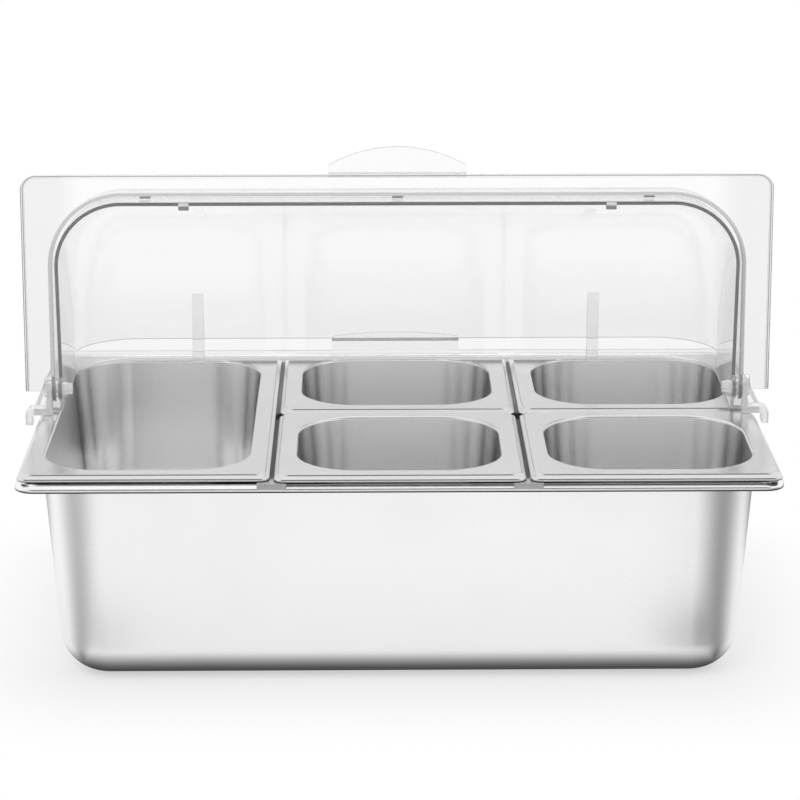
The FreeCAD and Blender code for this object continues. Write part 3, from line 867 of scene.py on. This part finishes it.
def steel(name, tint, roughness, lines, smudges, scratches, bump, mapped=True):
    """Satin steel with its marks, which follow the sheet's UV map where the piece has one."""
    material, tree, shader = new_finish(name)
    place = add_node(tree, "TexCoord").outputs
    marks = add_node(tree, "Group", {
        "Sheet": place["UV" if mapped else "Object"], "Space": place["Object"], "Steel": (*tint, 1),
        "Roughness": roughness, "Lines": lines, "Smudges": smudges, "Scratches": scratches,
    }, node_tree=steel_marks).outputs
    relief = add_node(tree, "Bump", {"Height": marks["Height"], "Strength": bump, "Distance": MARK_DEPTH})
    fill(tree, shader, {"Metallic": 1.0, "Base Color": marks["Colour"], "Roughness": marks["Roughness"],
                        "Normal": relief.outputs[0]})
    return material


def shade_and_dull_bar_middle(material):
    """Darkens and roughens a bar between its ends, more in the front half than in the rear one. The
    roughness is dullness where nobody wipes, and the darkening is painted shade from the pans above, darkest
    where the gaps between pans cross.
    """
    tree = material.node_tree
    marks = next(node for node in tree.nodes if node.type == "GROUP").outputs
    along = axes_of(tree)[1]
    from_middle = number(tree, "ABSOLUTE", along)
    # Painted shade: darker in the front half and where the gaps between pans cross.
    bar_painted_shade = number(tree, "MULTIPLY", ramp(tree, along, *BAR_FRONT_TO_REAR, 0.30, 0.60),
                  ramp(tree, from_middle, *BAR_CROSSING, 0.05, 1.0))
    shade_scale = ramp(tree, from_middle, *BAR_ENDS, bar_painted_shade, 0.7)
    shaded_colour = add_node(tree, "VectorMath", {0: marks["Colour"], "Scale": shade_scale}, operation="SCALE")
    roughened = number(tree, "ADD", marks["Roughness"], ramp(tree, from_middle, *BAR_ENDS, 0.5, 0.0))
    fill(tree, tree.nodes["Principled BSDF"], {"Base Color": shaded_colour.outputs[0], "Roughness": roughened})


deep_steel = steel("deep_pan_satin_steel", (0.965, 0.965, 0.965), 0.27, 0.05, 0.10, 0.04, 0.3)
small_steel = steel("small_pan_satin_steel", (0.76, 0.76, 0.765), 0.25, 0.06, 0.08, 0.03, 0.2)
bar_steel = steel("support_bar_steel", (0.72, 0.72, 0.73), 0.24, 0.12, 0.10, 0.10, 0.4, mapped=False)
shade_and_dull_bar_middle(bar_steel)
# Near-black hem: the cut edge's dull colour plus painted shade under the rim.
hem_steel_painted_shade = steel("sheared_steel_edge", (0.06, 0.06, 0.06), 0.45, 0.20, 0.20, 0.10, 0.8)
# Paler copy of the steel for the wells: painted light that keeps them from reading too dark.
well_lit_steel = steel("well_satin_steel", (0.86, 0.86, 0.86), 0.22, 0.06, 0.08, 0.02, 0.2)
dress(deep_pan, deep_steel, hem_steel_painted_shade, well_lit_steel)
for pan in small_pans:
    dress(pan, small_steel, hem_steel_painted_shade, well_lit_steel)
print("steel on", 1 + len(small_pans), "pans")

# %% [markdown]
# The covers are clear moulded plastic. Light bends into it, so it is glass, very slightly grey. It could be
# drawn fully smooth, but a moulding has faint waves where the melt cooled and a haze of wiping marks. Both
# come from one group that all clear pieces share.

# %% Moulding marks
moulding_marks, given, end = new_group(
    "moulding_marks",
    [("Space", VECTOR, (0, 0, 0)), ("Roughness", FLOAT, 0.02), ("Wiping", FLOAT, 0.03),
     ("Waves", FLOAT, 1.0)],
    [("Roughness", FLOAT), ("Height", FLOAT)])
tree = moulding_marks
waves = speckle(tree, given["Space"], 9.0, 1.0)
wiped = add_node(tree, "Mapping", {"Vector": given["Space"], "Scale": (5, 40, 40)})
wiping = ramp(tree, speckle(tree, wiped.outputs[0], 1.0, 3.0, 0.6), 0.45, 0.75)
wiping = number(tree, "MULTIPLY", wiping, given["Wiping"])
fill(tree, end, {"Roughness": number(tree, "ADD", given["Roughness"], wiping),
                 "Height": number(tree, "MULTIPLY", waves, given["Waves"])})
print(moulding_marks.name, len(moulding_marks.nodes), "nodes")

# %% [markdown]
# Glass in a path tracer throws a black shadow, so shadow rays see a pale transparent sheet instead. Thick
# and cut places have painted shade: the foot's bend and the ribs are painted grey, lips, pads and tabs are
# frosted and painted a darker grey, and the trimmed free edges are painted nearly black. The hinge pieces
# and the tabs' tops are milky. The sheet has a lower index than the plastic itself, so that the pans mirror
# only faintly in it, and the grey of the sheet and pulls eases along one axis as painted shade: darker
# towards the covers' feet and towards the flanges' ends.

# %% Clear finishes
PLASTIC_INDEX = 1.585
SHEET_INDEX = 1.33
WAVE_DEPTH = 1 * MM
# Painted shade: the sheet and pulls darker towards the bottom, the flanges darker towards their ends.
SHEET_PAINTED_SHADE = (2, 180 * MM, 280 * MM, 0.942, 0.992)
PULL_PAINTED_SHADE = (2, 180 * MM, 280 * MM, 0.966, 0.996)
FLANGE_PAINTED_SHADE = (0, 225 * MM, 250 * MM, 0.985, 0.80)


def painted_shade_along(tree, axis, start, end, low, high):
    """Painted shade: a grey that eases from one value to another along an axis, the same on both sides of
    the middle.
    """
    return ramp(tree, number(tree, "ABSOLUTE", axes_of(tree)[axis]), start, end, low, high)


def clear_plastic(name, grey, clearness, gloss, roughness, wiping, waves, shade, index=PLASTIC_INDEX):
    """Clear or milky plastic with moulding marks, in one grey or in a painted shade that eases along an
    axis.
    Light that has been thrown about inside the wall sees the pale sheet too, or it would be lost and leave
    black lines."""
    material, tree, shader = new_finish(name)
    marks = add_node(tree, "Group", {
        "Space": add_node(tree, "TexCoord").outputs["Object"],
        "Roughness": roughness, "Wiping": wiping, "Waves": waves,
    }, node_tree=moulding_marks).outputs
    relief = add_node(tree, "Bump", {"Height": marks["Height"], "Strength": 0.5, "Distance": WAVE_DEPTH})
    tint = painted_shade_along(tree, *grey) if isinstance(grey, tuple) else (grey, grey, grey, 1)
    fill(tree, shader, {"Base Color": tint, "Transmission Weight": clearness, "IOR": index,
                        "Specular IOR Level": gloss, "Roughness": marks["Roughness"],
                        "Normal": relief.outputs[0]})
    pale = add_node(tree, "BsdfTransparent", {"Color": (shade, shade, shade, 1)})
    path = add_node(tree, "LightPath").outputs
    thrown_about = number(tree, "GREATER_THAN", path["Glossy Depth"], 1.5)
    mix_surface(tree, number(tree, "MAXIMUM", path["Is Shadow Ray"], thrown_about), shader, pale)
    return material


SHEET_MARKS = (1.0, 0.15, 0.012, 0.03, 0.4, 0.94)
cover_clear = clear_plastic("clear_cover_plastic", SHEET_PAINTED_SHADE, *SHEET_MARKS, SHEET_INDEX)
flange_clear = clear_plastic("cover_flange_plastic", FLANGE_PAINTED_SHADE, *SHEET_MARKS, SHEET_INDEX)
pull_clear = clear_plastic("clear_pull_plastic", PULL_PAINTED_SHADE, *SHEET_MARKS)
# Painted shade of thick and cut plastic: the foot's bend, the trimmed edges, the lips and the ribs.
painted_shade_foot = clear_plastic("thick_cover_foot", 0.40, 1.0, 0.3, 0.05, 0.03, 0.4, 0.9, SHEET_INDEX)
painted_shade_edge = clear_plastic("trimmed_cover_edge", 0.15, 0.3, 0.5, 0.22, 0.10, 0.6, 0.8)
painted_shade_lip = clear_plastic("cut_cover_lip", 0.36, 0.6, 0.5, 0.20, 0.10, 0.6, 0.8)
painted_shade_rib = clear_plastic("thick_cover_rib", 0.90, 1.0, 0.3, 0.03, 0.03, 0.4, 0.9)
tab_white = clear_plastic("milky_tab_top", 0.95, 0.1, 0.5, 0.15, 0.05, 0.4, 0.8)
hinge_clear = clear_plastic("milky_hinge_plastic", 0.92, 0.72, 0.5, 0.12, 0.06, 0.8, 0.85)
print("index of the plastic", PLASTIC_INDEX, "and of the sheet", SHEET_INDEX)

# %% [markdown]
# Now each clear piece takes its finishes, in the order of its slots. The frame's own meshes take theirs in
# the slot that they come with, where they have one.

# %% Dress the clear pieces and the bars
INNER_FACE = [cover_clear, cover_clear, painted_shade_foot, flange_clear]
OUTER_FACE = [cover_clear] * SHEET_PARTS
CUT_RIM = [painted_shade_lip, painted_shade_edge, painted_shade_lip, painted_shade_lip]
for cover in (rear_cover, front_cover):
    dress(cover, *INNER_FACE, *OUTER_FACE, *CUT_RIM)
SOLID_FINISH = {"handle": [pull_clear, painted_shade_lip], "rib": [painted_shade_rib], "tab": [painted_shade_lip, tab_white],
                "washer": [pull_clear], "pad": [painted_shade_lip]}
for solid in clear_solids:
    kind = next(word for word in SOLID_FINISH if word in solid.name)
    dress(solid, *SOLID_FINISH[kind])
KEPT_FINISH = {"hinge_bracket": hinge_clear, "pivot_pin": hinge_clear, "support_bar": bar_steel}
for kind, finish in KEPT_FINISH.items():
    for node in (kind + "_left", kind + "_right"):
        part = frame["nodes"][node]
        if part.material_slots:
            part.material_slots[0].material = finish
        else:
            dress(part, finish)
print("clear plastic on", 2 + len(clear_solids), "pieces")

# %% [markdown]
# The display stands on a plain white sheet in a white room. Near the pans the floor is a matt surface
# that takes a light shadow, and further off it glows at exactly white, so the background is clean. A
# photographer lays dark cards beside shiny metal to draw its corners and bends. Here four dark wedges that
# spread from the corners, a dark spot before each corner and a grey floor far in front do that, while a
# painted contact shadow draws a dark line at the foot, with faint painted shade near it. Only reflections
# see them. The cards on the right are the darker ones.

# %% Floor
FLOOR_HALF = 12
corners = np.array([[-1, -1, 0], [1, -1, 0], [1, 1, 0], [-1, 1, 0]]) * FLOOR_HALF
floor = linked_mesh("floor", corners, [[0, 1, 2, 3]])
print("floor", 2 * FLOOR_HALF, "m wide")

# %% [markdown]
# The cards could be planes in the air, but planes show in other views. As a pattern in the floor's glow they
# stay out of sight. Each eases from dark to white: a wedge with the angle round a corner of the foot, a spot
# with the distance from its middle, and the rest with the distance from the foot or to the front.

# %% Floor finish
FOOT_HALF = (210 * MM, 110 * MM)
LEFT_TO_RIGHT = (-100 * MM, 100 * MM)
WEDGE_POINT = (230 * MM, 120 * MM)
WEDGE_TURN = 0.55
WEDGE_SPREAD = (0.95, 1.2)
WEDGE_DARK = (0.50, 0.32)
SPOT_PLACE = (240 * MM, 205 * MM)
SPOT_RADIUS = 75 * MM
SPOT_DARK = (0.78, 0.40)
# Painted shade near the foot and a painted contact shadow at it, both seen only in reflections.
PAINTED_NEAR_SHADE = (30 * MM, 300 * MM, 0.88, 1.0)
PAINTED_FOOT_SHADOW = (12 * MM, 55 * MM, 0.08, 1.0)
FAR_FRONT = (580 * MM, 740 * MM, 1.0, 0.40)
SHADOW_LIFT = (0.0, 160 * MM, 0.55, 1.0)


def distance(tree, across, along, x, y):
    """Distance in plan from a point at x, y: the root of the two squares added."""
    beyond = [number(tree, "SUBTRACT", across, x), number(tree, "SUBTRACT", along, y)]
    squares = [number(tree, "POWER", value, 2.0) for value in beyond]
    return number(tree, "SQRT", number(tree, "ADD", *squares))


floor_white, tree, unused = new_finish("white_floor")
tree.nodes.remove(unused)
axes = axes_of(tree)
across, along = number(tree, "ABSOLUTE", axes[0]), number(tree, "ABSOLUTE", axes[1])
past_side = number(tree, "MAXIMUM", across, FOOT_HALF[0])
past_front = number(tree, "MAXIMUM", along, FOOT_HALF[1])
away = distance(tree, past_side, past_front, *FOOT_HALF)
beside = number(tree, "SUBTRACT", across, WEDGE_POINT[0])
before = number(tree, "SUBTRACT", along, WEDGE_POINT[1])
off_wedge = number(tree, "SUBTRACT", number(tree, "ARCTAN2", before, beside), WEDGE_TURN)
spread, wedge_dark, spot_dark = [ramp(tree, axes[0], *LEFT_TO_RIGHT, *pair)
                                 for pair in (WEDGE_SPREAD, WEDGE_DARK, SPOT_DARK)]
wedge = ramp(tree, number(tree, "ABSOLUTE", off_wedge), 0.0, spread, wedge_dark, 1.0)
spot = ramp(tree, distance(tree, across, along, *SPOT_PLACE), 0.0, SPOT_RADIUS, spot_dark, 1.0)
far_front = ramp(tree, number(tree, "MULTIPLY", axes[1], -1.0), *FAR_FRONT)
# The cards, plus painted shade and a painted contact shadow at the foot.
painted_near_shade, painted_foot_shadow = ramp(tree, away, *PAINTED_NEAR_SHADE), ramp(tree, away, *PAINTED_FOOT_SHADOW)
glow_cards_and_shade = number(tree, "MULTIPLY", wedge, spot, painted_near_shade, far_front, painted_foot_shadow)
path = add_node(tree, "LightPath").outputs
mirrored = number(tree, "GREATER_THAN", path["Is Glossy Ray"], path["Is Transmission Ray"])
dimmed = number(tree, "MULTIPLY", mirrored, number(tree, "SUBTRACT", 1.0, glow_cards_and_shade))
matt = add_node(tree, "BsdfDiffuse", {"Color": (0.93, 0.93, 0.93, 1)})
glow = add_node(tree, "Emission",
                {"Color": (1, 1, 1, 1), "Strength": number(tree, "SUBTRACT", 1.0, dimmed)})
seen = number(tree, "MAXIMUM", path["Is Camera Ray"], path["Is Transmission Ray"])
plain = number(tree, "MULTIPLY", ramp(tree, away, *SHADOW_LIFT), seen)
mix_surface(tree, number(tree, "MAXIMUM", plain, mirrored), matt, glow)
dress(floor, floor_white)
print(floor_white.name, len(tree.nodes), "nodes")

# %% [markdown]
# The room is a world shader. To the camera it is white. In metal and plastic it is white at the height of
# the eye, and higher up it is white at the sides and straight overhead, where softboxes hang, and dark in
# front and behind, because an even white room would make clear plastic vanish and rolled rims look flat.
# What it gives to matt surfaces is set apart, so that their light doesn't depend on the reflections.

# %% Room
DARK_BAND = 0.15
ROOM_FILL = 0.60
BAND_FOOT = (0.42, 0.50, 0.0, 1.0)
BAND_TOP = (0.82, 0.88, 1.0, 0.0)
BAND_SIDE = (0.30, 0.60, 1.0, 0.0)
world = bpy.data.worlds.new("white_room")
bpy.context.scene.world = world
world.use_nodes = True
tree = world.node_tree
path = add_node(tree, "LightPath").outputs
axes = axes_of(tree, "Generated")
first_mirror = number(tree, "LESS_THAN", path["Glossy Depth"], 1.5)
band = number(tree, "MULTIPLY", ramp(tree, axes[2], *BAND_FOOT), ramp(tree, axes[2], *BAND_TOP),
              ramp(tree, number(tree, "ABSOLUTE", axes[0]), *BAND_SIDE), first_mirror)
dimmed = number(tree, "SUBTRACT", 1.0, number(tree, "MULTIPLY", band, 1 - DARK_BAND))
shiny = number(tree, "MAXIMUM", path["Is Glossy Ray"], path["Is Transmission Ray"])
strength = ROOM_FILL
for share, other in ((shiny, dimmed), (path["Is Camera Ray"], 1.0)):
    mix = add_node(tree, "Mix", {0: share, 2: strength, 3: other}, data_type="FLOAT")
    strength = mix.outputs[0]
fill(tree, tree.nodes["Background"], {"Strength": strength, "Color": (1, 1, 1, 1)})


def add_softbox(name, place, aim, width, height, power):
    """Large soft lamp at a place, turned to face a point, that neither camera nor reflections see."""
    lamp = bpy.data.lights.new(name, "AREA")
    lamp.shape = "RECTANGLE"
    lamp.size, lamp.size_y, lamp.energy = width, height, power
    box = bpy.data.objects.new(name, lamp)
    box.location = place
    box.rotation_euler = (Vector(aim) - Vector(place)).to_track_quat("-Z", "Y").to_euler()
    box.visible_camera = False
    box.visible_glossy = False
    bpy.context.scene.collection.objects.link(box)
    return box


add_softbox("softbox_front_left", (-1.0, -1.5, 2.0), (0, 0, 0.1), 1.5, 1.5, 14)
add_softbox("softbox_right", (1.7, -0.5, 1.6), (0, 0, 0.1), 1.2, 1.2, 6)
add_softbox("softbox_behind", (0, 1.4, 2.0), (0, 0, 0.1), 1.8, 0.8, 7)
print("room fill", ROOM_FILL)

# %% [markdown]
# The camera stands in front and a little above, far enough away that the sides hardly lean.

# %% Camera and view
lens = bpy.data.cameras.new("camera")
lens.lens = 128.6
camera = bpy.data.objects.new("camera", lens)
camera.location = (-0.02326, -2.0259, 0.74862)
camera.rotation_euler = (math.radians(74.01), 0, math.radians(-0.71))
bpy.context.scene.collection.objects.link(camera)
bpy.context.scene.camera = camera
bpy.context.scene.view_settings.view_transform = "Standard"
print("camera at", [round(v, 3) for v in camera.location])

# %% [markdown]
# Dressing a model must not change its size.

# %% Finish
bpy.context.view_layer.update()
